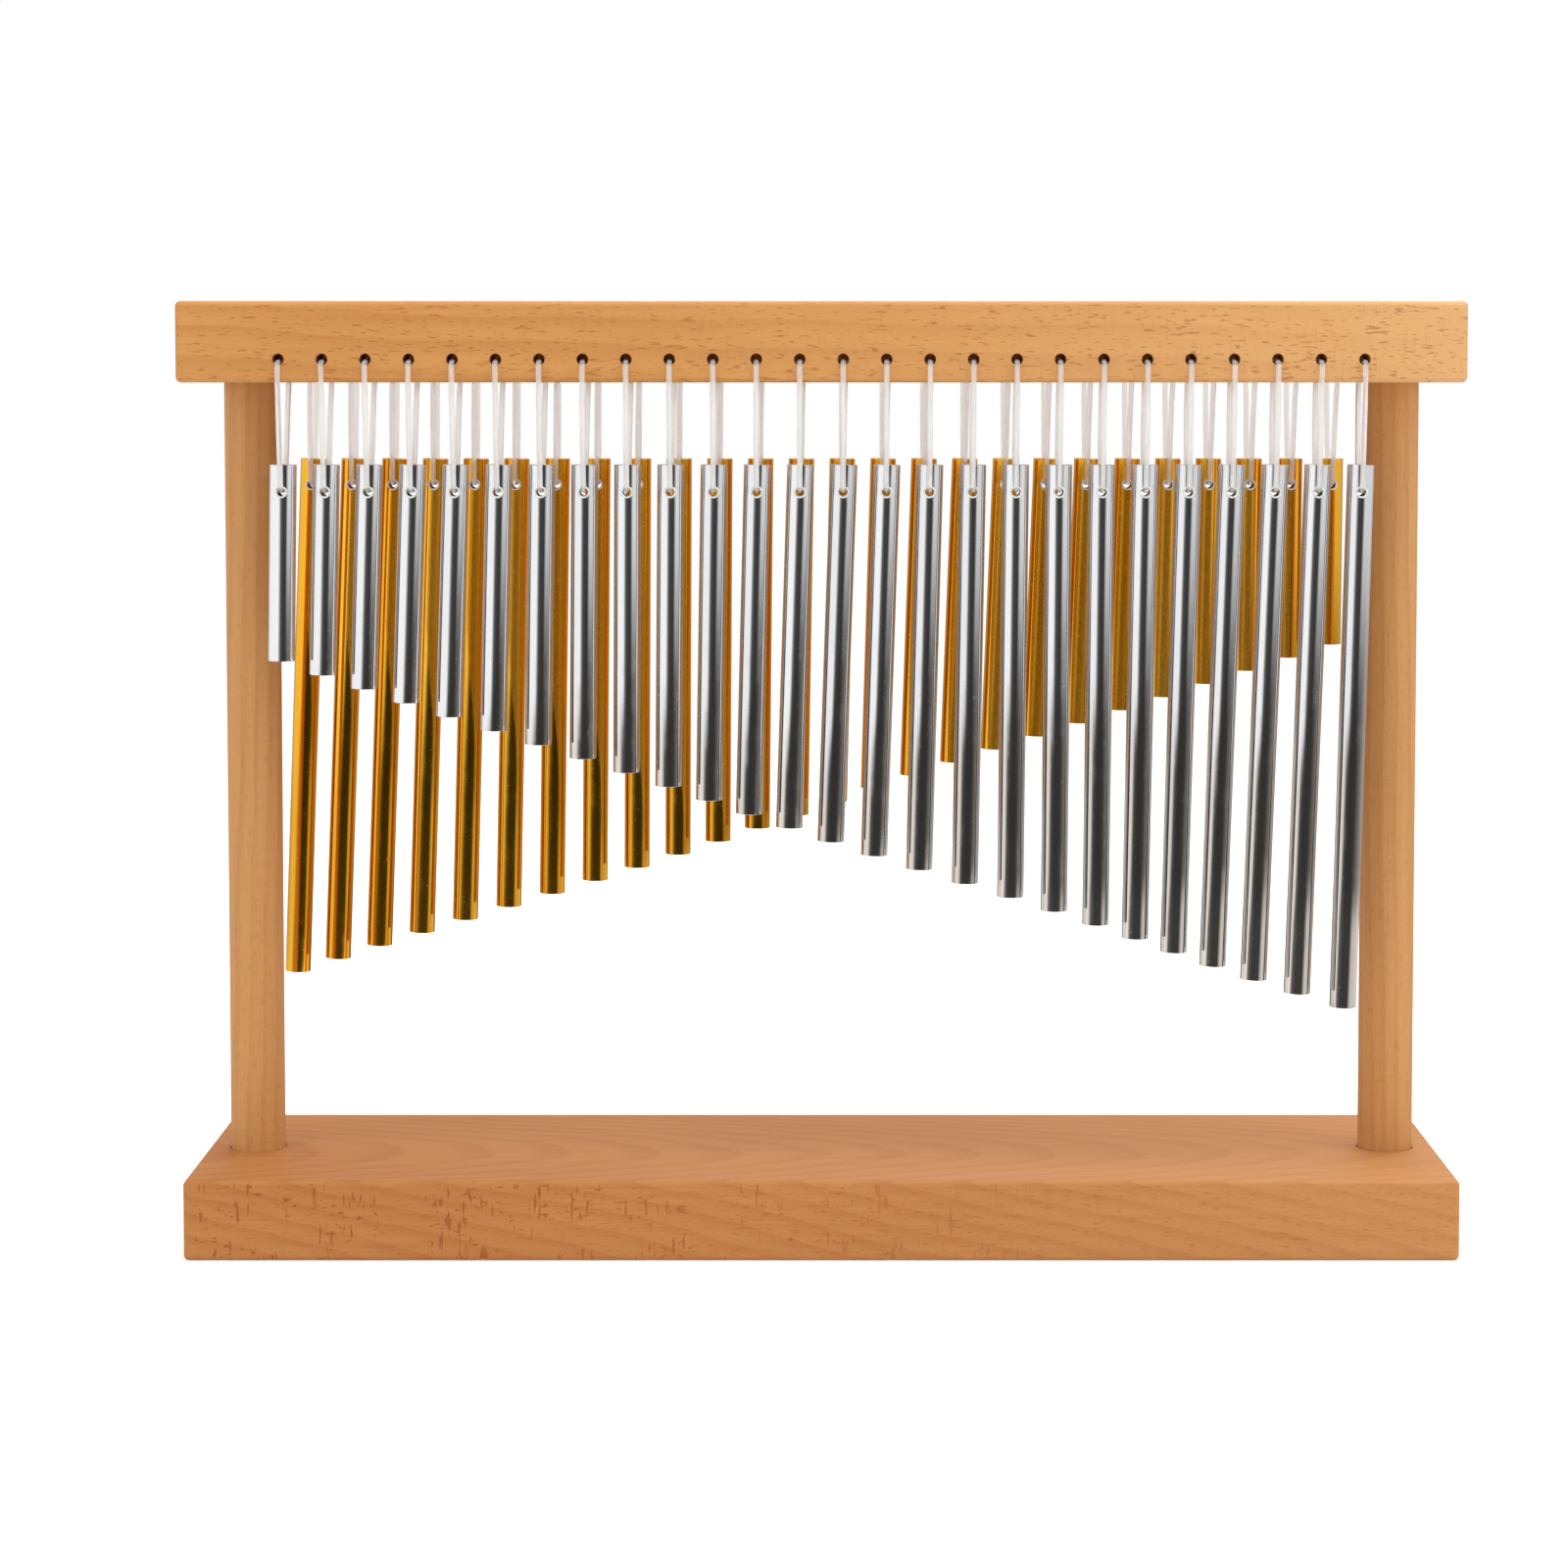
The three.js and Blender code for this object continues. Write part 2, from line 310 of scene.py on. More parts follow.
def bevel_edges(obj, chosen, width, segments):
    """Rounds the edges that chosen picks by their two ends."""
    select_only(obj)
    bpy.ops.object.mode_set(mode="EDIT")
    bpy.ops.mesh.select_mode(type="EDGE")
    bpy.ops.mesh.select_all(action="DESELECT")
    shape = bmesh.from_edit_mesh(obj.data)
    for edge in shape.edges:
        edge.select = chosen(edge.verts[0].co, edge.verts[1].co)
    shape.select_flush_mode()
    picked = sum(edge.select for edge in shape.edges)
    bmesh.update_edit_mesh(obj.data)
    if not picked:
        raise RuntimeError(f"{obj.name} has no edge to round")
    bpy.ops.mesh.bevel(offset=width, segments=segments, affect="EDGES", clamp_overlap=True)
    bpy.ops.object.mode_set(mode="OBJECT")


def smooth(obj):
    """Smooth shading that keeps flat faces flat and sharp edges sharp."""
    select_only(obj)
    bpy.ops.object.shade_smooth_by_angle(angle=SMOOTH_ANGLE)
    apply_modifier(obj, "WEIGHTED_NORMAL", keep_sharp=True, weight=FACE_WEIGHT)


def own_copy(obj, name, place):
    """A copy with a mesh of its own, put in its place."""
    copy = obj.copy()
    copy.data = obj.data.copy()
    copy.name = name
    copy.data.name = name
    copy.data.transform(place)
    bpy.context.scene.collection.objects.link(copy)
    return copy


def hang(tube):
    """The turn and shift that bring a shape drawn round its cross hole to where the tube hangs."""
    return Matrix.Translation(tube.hole) @ Matrix.Rotation(tube.lean, 4, "Y")


def dress(obj, material):
    """Gives a piece its one material."""
    obj.data.materials.clear()
    obj.data.materials.append(material)
    return obj


# Wiring up materials

def feed(tree, inputs, sockets):
    """Gives each socket, by name or number, a value or another node's output."""
    for key, value in sockets.items():
        if isinstance(value, bpy.types.NodeSocket):
            tree.links.new(value, inputs[key])
        else:
            inputs[key].default_value = value


def add_node(tree, kind, sockets, **settings):
    """A node with its settings, and what its sockets take."""
    node = tree.nodes.new(kind)
    for name, value in settings.items():
        setattr(node, name, value)
    feed(tree, node.inputs, sockets)
    return node


def maths(tree, operation, *values, clamp=False):
    """The output of one Math node."""
    sockets = dict(enumerate(values))
    return add_node(tree, "ShaderNodeMath", sockets, operation=operation, use_clamp=clamp).outputs[0]


def span(tree, one, other):
    """How far apart the ends of two lengths at a right angle are."""
    squares = [maths(tree, "MULTIPLY", length, length) for length in (one, other)]
    return maths(tree, "SQRT", maths(tree, "ADD", *squares))


def noise(tree, place, pattern):
    """A noise from 0 to 1, as fine along each axis as its pattern says."""
    stretch = {0: place, 1: pattern.per_metre}
    vector = add_node(tree, "ShaderNodeVectorMath", stretch, operation="MULTIPLY").outputs[0]
    sockets = {"Vector": vector, "Scale": 1.0, "Detail": pattern.detail, "Roughness": pattern.roughness}
    return add_node(tree, "ShaderNodeTexNoise", sockets).outputs["Fac"]


def between(tree, value, low, high):
    """0 below low, 1 above high, and a soft step between."""
    sockets = {"Value": value, "From Min": low, "From Max": high}
    return add_node(tree, "ShaderNodeMapRange", sockets, interpolation_type="SMOOTHSTEP").outputs[0]


def shown(tree, value, pattern):
    """Where a pattern's noise shows: 0 up to its start, and 1 where it is full."""
    return between(tree, value, pattern.start, pattern.full)


def spots(tree, place, pattern):
    """The spots that a pattern's noise makes, from 0 to 1."""
    return shown(tree, noise(tree, place, pattern), pattern)


def mixed(tree, factor, first, second):
    """Two colours mixed by a factor."""
    sockets = {0: factor, 6: first, 7: second}
    return add_node(tree, "ShaderNodeMix", sockets, data_type="RGBA").outputs[2]


def new_group(name, inputs, outputs):
    """An empty node group, with its input and output nodes."""
    tree = bpy.data.node_groups.new(name, "ShaderNodeTree")
    for way, sockets in (("INPUT", inputs), ("OUTPUT", outputs)):
        for title, kind in sockets:
            tree.interface.new_socket(name=title, in_out=way, socket_type=f"NodeSocket{kind}")
    return tree, tree.nodes.new("NodeGroupInput").outputs, tree.nodes.new("NodeGroupOutput").inputs


def new_material(name):
    """A material with a Principled BSDF, and its tree."""
    material = bpy.data.materials.new(name)
    material.use_nodes = True
    return material, material.node_tree, material.node_tree.nodes["Principled BSDF"]


def place_group(tree, name, sockets):
    """A node group placed in a material, with its own values."""
    return add_node(tree, "ShaderNodeGroup", sockets, node_tree=bpy.data.node_groups[name]).outputs


def object_place(tree):
    """The object's own coordinates, in metres."""
    return tree.nodes.new("ShaderNodeTexCoord").outputs["Object"]


def bump(tree, shader, height, depth):
    """Feeds a height from 0 to 1 to a shader's normal."""
    normal = add_node(tree, "ShaderNodeBump", {"Height": height, "Distance": depth, "Strength": 1.0})
    feed(tree, shader.inputs, {"Normal": normal.outputs[0]})


def beech_group():
    """Beech that runs along X: yearly rings round a pith, long fibres, dark dashes and ray flecks."""
    tree, given, out = new_group(
        "Beech grain",
        [
            ("Place", "Vector"),
            *[(name, "Color") for name in ("Pale", "Deep", "Fleck", "Sap")],
            *[(name, "Float") for name in ("Sapwood", "Pith Y", "Pith Z", "Taper")],
            *[(name, "Float") for name in ("Rays", "Dashes", "Calm Height")],
        ],
        [("Color", "Color"), ("Roughness", "Float"), ("Height", "Float")],
    )
    place = given["Place"]
    waves = maths(tree, "SUBTRACT", noise(tree, place, BEECH_WAVES), 0.5)
    axis = add_node(tree, "ShaderNodeSeparateXYZ", {0: place}).outputs
    across = maths(tree, "SUBTRACT", axis["Y"], given["Pith Y"])
    above = maths(tree, "SUBTRACT", axis["Z"], given["Pith Z"])
    rings = maths(tree, "MULTIPLY_ADD", axis["X"], given["Taper"], span(tree, across, above))
    rings = maths(tree, "MULTIPLY_ADD", waves, RING_WAVER, rings)
    year = maths(tree, "FRACT", maths(tree, "MULTIPLY", rings, RINGS_PER_METRE))
    late = maths(tree, "MULTIPLY", between(tree, year, *LATE_WOOD), between(tree, year, *YEAR_END))

    pushed = {side: maths(tree, "MULTIPLY_ADD", waves, FIBRE_WAVER, axis[side]) for side in (1, 2)}
    bent = add_node(tree, "ShaderNodeCombineXYZ", {0: axis[0], **pushed}).outputs[0]
    fibres = noise(tree, bent, BEECH_FIBRES)
    clouds = noise(tree, bent, BEECH_CLOUDS)
    calm_from = maths(tree, "SUBTRACT", given["Calm Height"], CALM_EDGE)
    below_calm = between(tree, axis["Z"], given["Calm Height"], calm_from)
    dashes = spots(tree, bent, BEECH_DASHES)
    dashes = maths(tree, "MULTIPLY", dashes, maths(tree, "MAXIMUM", below_calm, CALM_DASHES))
    flecks = maths(tree, "MAXIMUM", spots(tree, bent, BEECH_RAYS), spots(tree, bent, BEECH_SPECKS))
    flecks = maths(tree, "MULTIPLY", flecks, spots(tree, place, BEECH_CLUMPS))
    flecks = maths(tree, "MULTIPLY", flecks, given["Rays"], clamp=True)
    flecks = maths(tree, "MULTIPLY", flecks, below_calm)

    shade = maths(tree, "MULTIPLY", late, RING_DEPTH)
    shade = maths(tree, "MULTIPLY_ADD", shown(tree, fibres, BEECH_FIBRES), FIBRE_DEPTH, shade)
    shade = maths(tree, "MULTIPLY_ADD", shown(tree, clouds, BEECH_CLOUDS), CLOUD_DEPTH, shade)
    shade = maths(tree, "MULTIPLY", shade, GRAIN_DEPTH, clamp=True)
    # The paler wood: sap tone in clouds, plus the given amount, which rises to the right along the rail
    # and board and is partly painted light.
    sap = maths(tree, "SUBTRACT", clouds, 0.5)
    sap = maths(tree, "MULTIPLY_ADD", sap, SAP_CLOUDS, given["Sapwood"], clamp=True)
    colour = mixed(tree, shade, given["Pale"], given["Deep"])
    colour = mixed(tree, maths(tree, "MULTIPLY", sap, given["Sapwood"]), colour, given["Sap"])
    colour = mixed(tree, maths(tree, "MULTIPLY", dashes, given["Dashes"]), colour, given["Fleck"])
    colour = mixed(tree, maths(tree, "MULTIPLY", flecks, FLECK_DEPTH), colour, given["Fleck"])

    least_rough, fibre_rough, dash_rough = 0.46, 0.14, 0.12
    rough = maths(tree, "MULTIPLY_ADD", fibres, fibre_rough, least_rough)
    rough = maths(tree, "MULTIPLY_ADD", dashes, dash_rough, rough)
    relief = maths(tree, "SUBTRACT", fibres, dashes)
    height = maths(tree, "MULTIPLY_ADD", relief, 0.5, 0.5, clamp=True)
    feed(tree, out, {"Color": colour, "Roughness": rough, "Height": height})


def along_board(tree, along, left, right):
    """A value that goes from one at the left end to another at the right end."""
    board = {"Value": along, "From Min": BOARD_LOW.x, "From Max": BOARD_HIGH.x}
    return add_node(tree, "ShaderNodeMapRange", {**board, "To Min": left, "To Max": right}).outputs[0]


def beech_material(name, colour, deep, settings, pith, taper, rays, sap_and_painted_light, dashes, calm, upright=False):
    """One board's beech.

    rays and the sap amount are each given for its left end and for its right end. Where the sap amount
    rises towards the right, the paler right end is partly sapwood and partly painted light from the right.
    calm is the height of the face that shows neither rays nor dashes.
    """
    material, tree, shader = new_material(name)
    place = object_place(tree)
    along = add_node(tree, "ShaderNodeSeparateXYZ", {0: place}).outputs["X"]
    if upright:
        turned = {"Vector": place, "Rotation": (0, math.radians(90), 0)}
        place = add_node(tree, "ShaderNodeMapping", turned).outputs[0]
    grain = place_group(tree, "Beech grain", {
        "Place": place,
        "Pale": (*colour, 1),
        "Deep": (*deep, 1),
        "Fleck": (*settings.fleck_colour, 1),
        "Sap": (*settings.sap_and_painted_light_colour, 1),
        # The sap amount along the board: where it rises to the right, it is partly painted light from the
        # right.
        "Sapwood": along_board(tree, along, *sap_and_painted_light),
        "Pith Y": pith[0],
        "Pith Z": pith[1],
        "Taper": taper,
        "Rays": along_board(tree, along, *rays),
        "Dashes": dashes,
        "Calm Height": calm,
    })
    feed(tree, shader.inputs, {
        "Base Color": grain["Color"],
        "Roughness": grain["Roughness"],
        "Specular IOR Level": 0.18,
    })
    bump(tree, shader, grain["Height"], depth=0.00006)
    return material


def drawn_metal_group():
    """Drawn and polished tube: faint lines along it, a film of fingermarks, and a tint for each tube."""
    tree, given, out = new_group(
        "Drawn metal",
        [("Place", "Vector"), ("Metal", "Color"), ("Tint", "Color"), ("Polish", "Float")],
        [("Color", "Color"), ("Roughness", "Float"), ("Height", "Float")],
    )
    place = given["Place"]
    lines = noise(tree, place, METAL_LINES)
    colour = mixed(tree, spots(tree, place, METAL_SHADES), given["Metal"], given["Tint"])
    mark_rough, speck_rough, line_rough = 0.06, 0.15, 0.03
    rough = maths(tree, "MULTIPLY_ADD", spots(tree, place, METAL_MARKS), mark_rough, given["Polish"])
    rough = maths(tree, "MULTIPLY_ADD", spots(tree, place, METAL_SPECKS), speck_rough, rough)
    rough = maths(tree, "MULTIPLY_ADD", lines, line_rough, rough)
    feed(tree, out, {"Color": colour, "Roughness": rough, "Height": lines})


def metal_material(name, colour, tint, polish):
    """The finish of one row's tubes."""
    material, tree, shader = new_material(name)
    sockets = {"Place": object_place(tree), "Metal": (*colour, 1), "Tint": (*tint, 1), "Polish": polish}
    finish = place_group(tree, "Drawn metal", sockets)
    feed(tree, shader.inputs, {
        "Base Color": finish["Color"],
        "Roughness": finish["Roughness"],
        "Metallic": 1.0,
    })
    bump(tree, shader, finish["Height"], depth=0.000002)
    return material


def braid_material(name, colour, painted_valley_shade, strands, lay):
    """White braided cord: two sets of strands that cross round it, from the cord's own UV map."""
    material, tree, shader = new_material(name)
    place = tree.nodes.new("ShaderNodeTexCoord").outputs["UV"]
    axis = add_node(tree, "ShaderNodeSeparateXYZ", {0: place}).outputs
    around = maths(tree, "MULTIPLY", axis["X"], strands * math.pi)
    along = maths(tree, "MULTIPLY", axis["Y"], math.pi / lay)
    one = maths(tree, "SINE", maths(tree, "ADD", around, along))
    other = maths(tree, "SINE", maths(tree, "SUBTRACT", around, along))
    relief = maths(tree, "MAXIMUM", maths(tree, "ABSOLUTE", one), maths(tree, "ABSOLUTE", other))
    fuzz = noise(tree, place, CORD_FUZZ)
    height = maths(tree, "MULTIPLY", relief, 1 - FUZZ_DEPTH)
    height = maths(tree, "MULTIPLY_ADD", fuzz, FUZZ_DEPTH, height)
    # The braid's valleys take the darker colour: painted shade between the strands.
    crowns = between(tree, relief, *BRAID_CROWNS)
    least_rough, fuzz_rough = 0.35, 0.2
    feed(tree, shader.inputs, {
        "Base Color": mixed(tree, crowns, (*painted_valley_shade, 1), (*colour, 1)),
        "Roughness": maths(tree, "MULTIPLY_ADD", fuzz, fuzz_rough, least_rough),
        "Transmission Weight": 0.68,
        "IOR": 1.15,
        "Subsurface Weight": 0.7,
        "Subsurface Radius": (1.0, 0.95, 0.88),
        "Subsurface Scale": CORD_DIAMETER,
    })
    bump(tree, shader, height, depth=0.0001)
    return material


def plastic_material(name, colour, shadow):
    """Milky clear plastic, moulded, with a faint cloudiness."""
    material, tree, shader = new_material(name)
    clouds = noise(tree, object_place(tree), PLASTIC_CLOUDS)
    least_rough, cloud_rough = 0.15, 0.15
    feed(tree, shader.inputs, {
        "Base Color": mixed(tree, shown(tree, clouds, PLASTIC_CLOUDS), (*colour, 1), (*shadow, 1)),
        "Roughness": maths(tree, "MULTIPLY_ADD", clouds, cloud_rough, least_rough),
        "Transmission Weight": 0.15,
        "Subsurface Weight": 0.5,
        "Subsurface Scale": 0.001,
        "IOR": 1.49,
    })
    return material


# What a user would change

def colour_property(name, description, default):
    """A linear RGB colour."""
    return bpy.props.FloatVectorProperty(
        name=name, description=description, default=default, subtype="COLOR", size=3, min=0, max=1
    )


def number_property(name, description, default, **kind):
    """A number, with its unit and limits."""
    return bpy.props.FloatProperty(name=name, description=description, default=default, **kind)


def length_property(name, description, default):
    """A length in metres."""
    return number_property(name, description, default, unit="LENGTH", min=0, precision=5)


def share_property(name, description, default):
    """A share from 0 to 1."""
    return number_property(name, description, default, subtype="FACTOR", min=0, max=1)


def count_property(name, description, default, least):
    """A whole number, and the least that it may be."""
    return bpy.props.IntProperty(name=name, description=description, default=default, min=least)


class WoodSettings(bpy.types.PropertyGroup):
    """The base board, the posts and the rail."""

    edge_radius: length_property("Edge radius", "Rounding of the boards' edges", 0.002)
    mouth_radius: length_property("Hole rounding", "Rounding of the drilled holes' mouths", 0.0002)
    board_colour: colour_property("Board", "Pale wood of the base board", (0.53, 0.225, 0.066))
    board_deep: colour_property("Board grain", "Deep wood of the base board", (0.43, 0.155, 0.038))
    rail_colour: colour_property("Rail", "Pale wood of the rail", (0.63, 0.30, 0.088))
    rail_deep: colour_property("Rail grain", "Deep wood of the rail", (0.52, 0.22, 0.056))
    post_colour: colour_property("Post", "Pale wood of the posts", (0.61, 0.31, 0.11))
    post_deep: colour_property("Post grain", "Deep wood of the posts", (0.50, 0.22, 0.066))
    # This palest wood also paints the light on the right ends of the rail and board.
    sap_and_painted_light_colour: colour_property("Sapwood", "Palest wood", (0.74, 0.42, 0.18))
    fleck_colour: colour_property("Fleck", "Dashes and ray flecks in the wood", (0.34, 0.10, 0.025))
    post_sides: count_property("Post sides", "Faces round a post", 64, 16)


class TubeSettings(bpy.types.PropertyGroup):
    """The hanging tubes."""

    sides: count_property("Sides", "Faces round a tube", 48, 12)
    rim: length_property("Rim", "Rounding of a tube's ends", 0.00015)
    silver_colour: colour_property("Silver", "Front row's metal", (0.90, 0.90, 0.91))
    silver_tint: colour_property("Silver tint", "The duller tubes of the front row", (0.84, 0.84, 0.86))
    silver_polish: share_property("Silver roughness", "Least roughness of the front row", 0.05)
    gold_colour: colour_property("Gold", "Back row's metal", (0.98, 0.53, 0.05))
    gold_tint: colour_property("Gold tint", "The deeper tubes of the back row", (0.96, 0.46, 0.03))
    gold_polish: share_property("Gold roughness", "Least roughness of the back row", 0.1)


class EyeletSettings(bpy.types.PropertyGroup):
    """The plastic eyelets in the tubes' cross holes."""

    flange_diameter: length_property("Flange", "Outside diameter of the flange", 0.0046)
    flange_thickness: length_property("Thickness", "How far the flange stands proud of the tube", 0.0005)
    bore: length_property("Bore", "Inside diameter of the eyelet", 0.00324)
    colour: colour_property("Plastic", "Milky plastic", (0.95, 0.93, 0.87))
    shadow: colour_property("Plastic clouds", "Cloudier plastic", (0.86, 0.83, 0.76))


class CordSettings(bpy.types.PropertyGroup):
    """The cord that the rows are laced with."""

    sides: count_property("Sides", "Faces round the cord", 12, 8)
    ring_gap: length_property("Ring gap", "Most between two rings of the cord's mesh", 0.002)
    strands: count_property("Strands", "Strands of the braid", 8, 4)
    lay: length_property("Lay", "Length of one crossing of the braid", 0.0009)
    colour: colour_property("Cord", "White of the cord", (0.97, 0.96, 0.94))
    # The valley colour is painted shade between the braid's strands.
    painted_valley_shade: colour_property("Cord valleys", "Shade between the strands", (0.93, 0.91, 0.88))


class StageSettings(bpy.types.PropertyGroup):
    """The camera, the floor and the lights."""

    lens: number_property("Lens", "Focal length", 0.0835, unit="CAMERA")
    distance: length_property("Distance", "From the board's front to the camera", 1.330)
    height: length_property("Height", "The camera's height above the table", 0.335)
    tilt: number_property("Tilt", "How far the camera looks down", math.radians(3.34), subtype="ANGLE")
    shift_x: number_property("Shift X", "The lens's shift sideways", -0.0239)
    shift_y: number_property("Shift Y", "The lens's shift upwards", -0.138)
    ambient: share_property("Ambient", "Light that comes from all round", 0.80)
    floor_colour: colour_property("Floor", "Pale floor", (0.86, 0.86, 0.86))
    floor_glow: share_property("Floor glow", "What the camera and the metal see added to the floor", 0.35)


# The stage

def make_camera(settings):
    """The photograph's camera: nearly level, in front of the board, with its lens shifted down."""
    data = bpy.data.cameras.new("camera")
    data.sensor_width = SENSOR_WIDTH
    data.lens = settings.lens * MM_PER_METRE
    data.shift_x = settings.shift_x
    data.shift_y = settings.shift_y
    data.clip_start = 0.01
    camera = bpy.data.objects.new("camera", data)
    camera.location = (0, BOARD_LOW.y - settings.distance, settings.height)
    camera.rotation_euler = (math.radians(90) - settings.tilt, 0, 0)
    bpy.context.scene.collection.objects.link(camera)
    bpy.context.scene.camera = camera


def seen_directly(tree):
    """1 for what the camera, gloss or clear plastic sees, and 0 for light that falls on the part."""
    path = tree.nodes.new("ShaderNodeLightPath").outputs
    either = maths(tree, "MAXIMUM", path["Is Camera Ray"], path["Is Glossy Ray"])
    return maths(tree, "MAXIMUM", either, path["Is Transmission Ray"])


def make_world(settings):
    """White all round to look at, and softer as a light."""
    world = bpy.data.worlds.new("studio")
    world.use_nodes = True
    bpy.context.scene.world = world
    tree = world.node_tree
    strength = maths(tree, "MULTIPLY_ADD", seen_directly(tree), 1 - settings.ambient, settings.ambient)
    feed(tree, tree.nodes["Background"].inputs, {"Color": (1, 1, 1, 1), "Strength": strength})


def make_floor(settings):
    """A wide pale floor that keeps the part's shadow."""
    low = (-FLOOR_HALF, -FLOOR_HALF, -FLOOR_THICKNESS)
    floor = block("floor", low, (FLOOR_HALF, FLOOR_HALF, 0))
    bevel_edges(floor, lambda start, end: True, FLOOR_ROUNDING, SMALL_BEVEL_STEPS)
    material, tree, shader = new_material("floor paper")
    feed(tree, shader.inputs, {
        "Base Color": (*settings.floor_colour, 1),
        "Roughness": 0.9,
        "Specular IOR Level": 0,
        "Emission Color": (1, 1, 1, 1),
        "Emission Strength": maths(tree, "MULTIPLY", seen_directly(tree), settings.floor_glow),
    })
    dress(floor, material)


def round_ramp(tree, turn, stops, tint):
    """A brightness that goes from stop to stop as the turn goes round, in the tint of the painted
    reflection.
    """
    node = add_node(tree, "ShaderNodeValToRGB", {"Fac": turn})
    elements = node.color_ramp.elements
    for index, (degrees, brightness) in enumerate(stops):
        position = (degrees + 180) / 360
        element = elements[index] if index < 2 else elements.new(position)
        element.position = position
        element.color = (*(brightness * part for part in tint), 1)
    return node.outputs["Color"]


def painted_reflection_material(name):
    """Painted reflections for the metal: each height has its own brightness all round, and softens into
    the next.
    """
    material, tree, _ = new_material(name)
    tree.nodes.clear()
    axis = add_node(tree, "ShaderNodeSeparateXYZ", {0: object_place(tree)}).outputs
    turn = maths(tree, "ARCTAN2", axis["X"], maths(tree, "MULTIPLY", axis["Y"], -1))
    turn = maths(tree, "MULTIPLY_ADD", turn, 0.5 / math.pi, 0.5)
    glow = round_ramp(tree, turn, PAINTED_REFLECTION_NEAR, PAINTED_REFLECTION_TINT)
    foot = round_ramp(tree, turn, PAINTED_REFLECTION_FOOT, PAINTED_REFLECTION_TINT)
    top = round_ramp(tree, turn, PAINTED_REFLECTION_TOP, NO_TINT)
    away = span(tree, axis["X"], axis["Y"])
    glow = mixed(tree, between(tree, away, *NEAR_TO_FOOT), glow, foot)
    foot_ends, top_starts = FOOT_TO_TOP
    top_starts = maths(tree, "MULTIPLY_ADD", between(tree, turn, *RIGHT_SIDE), HIGHER_ON_RIGHT, top_starts)
    glow = mixed(tree, between(tree, axis["Z"], foot_ends, top_starts), glow, top)
    # The glow is painted reflection: gloss sees it, and it lights nothing.
    light = add_node(tree, "ShaderNodeEmission", {"Color": glow}).outputs[0]
    add_node(tree, "ShaderNodeOutputMaterial", {"Surface": light})
    return material


def make_painted_reflections():
    """A ring of glowing paper on the floor that bends up into a round wall: painted reflections. Only
    polished metal sees it.
    """
    profile = ((ROOM_NEAR, 0), (ROOM_FAR, 0), (ROOM_FAR, ROOM_HEIGHT))
    room = outline("paper_room", [(0, away, ROOM_LIFT + up) for away, up in profile])
    bpy.ops.object.mode_set(mode="EDIT")
    bpy.ops.mesh.select_mode(type="EDGE")
    bpy.ops.mesh.select_all(action="DESELECT")
    shape = bmesh.from_edit_mesh(room.data)
    shape.verts.ensure_lookup_table()
    shape.edges.get((shape.verts[0], shape.verts[2])).select = True
    bmesh.update_edit_mesh(room.data)
    bpy.ops.mesh.delete(type="EDGE")
    spin_round(ROOM_STEPS, (0, 0, 1), ROOM_SEAM)
    bpy.ops.object.mode_set(mode="OBJECT")
    for way in ("camera", "diffuse", "transmission", "volume_scatter", "shadow"):
        setattr(room, f"visible_{way}", False)
    dress(room, painted_reflection_material("room paper"))


def make_lamp(name, place, aim, size, power):
    """A soft square lamp that faces a point."""
    data = bpy.data.lights.new(name, "AREA")
    data.shape = "RECTANGLE"
    data.size, data.size_y = size
    data.energy = power
    lamp = bpy.data.objects.new(name, data)
    lamp.location = place
    lamp.rotation_euler = (Vector(aim) - Vector(place)).to_track_quat("-Z", "Y").to_euler()
    lamp.visible_camera = False
    bpy.context.scene.collection.objects.link(lamp)


class MESH_OT_chime_stage(bpy.types.Operator):
    """Make the camera, the floor, the room of painted reflections and the lights"""

    bl_idname = "mesh.chime_stage"
    bl_label = "Stage"
    bl_options = {"REGISTER", "UNDO"}

    def execute(self, context):
        settings = context.scene.chime_stage
        context.scene.view_settings.view_transform = "Standard"
        make_camera(settings)
        make_world(settings)
        make_floor(settings)
        make_painted_reflections()
        aim = (0, 0, RAIL_HIGH.z / 2)
        for name, (place, size, power) in LAMPS.items():
            make_lamp(name, place, aim, size, power)
        return {"FINISHED"}


# The cords

def lacing(x, side):
    """One tube's share of a row's lacing.

    It goes out of the groove through the rail's hole, down outside the tube, through it, and up inside
    the row into the groove again.
    """
    rail_z = RAIL_LOW.z + RAIL_HOLE_HEIGHT - RAIL_HOLE_DIAMETER / 2 + CORD_DIAMETER / 2 + CLEARANCE
    row, hole_z = row_place()
    tube_z = hole_z + TUBE_HOLE_DIAMETER / 2 - CORD_DIAMETER / 2 - CLEARANCE
    wall = TUBE_DIAMETER / 2
    beside = wall + CORD_DIAMETER / 2 + 2 * CLEARANCE
    out = RAIL_HIGH.y + CORD_DIAMETER / 2
    groove = RAIL_HIGH.y - GROOVE_INSET
    leaving = groove + (CORD_DIAMETER + CLEARANCE) / 2
    arriving = groove - (CORD_DIAMETER + CLEARANCE) / 2
    points = [
        (x - CORD_BEND, leaving, rail_z),
        (x, leaving + CORD_BEND, rail_z),
        (x, out, rail_z),
        (x, out + CORD_BEND, rail_z - CORD_BEND),
        (x, row + beside, tube_z + beside - wall - CLEARANCE),
        (x, row + wall + CLEARANCE, tube_z),
        (x, row - wall - CLEARANCE, tube_z),
        (x, row - beside, tube_z + beside - wall - CLEARANCE),
        (x + RISER_SHIFT, arriving, rail_z - CORD_BEND),
        (x + RISER_SHIFT + CORD_BEND, arriving, rail_z),
    ]
    return [Vector((a, side * b, c)) for a, b, c in points]


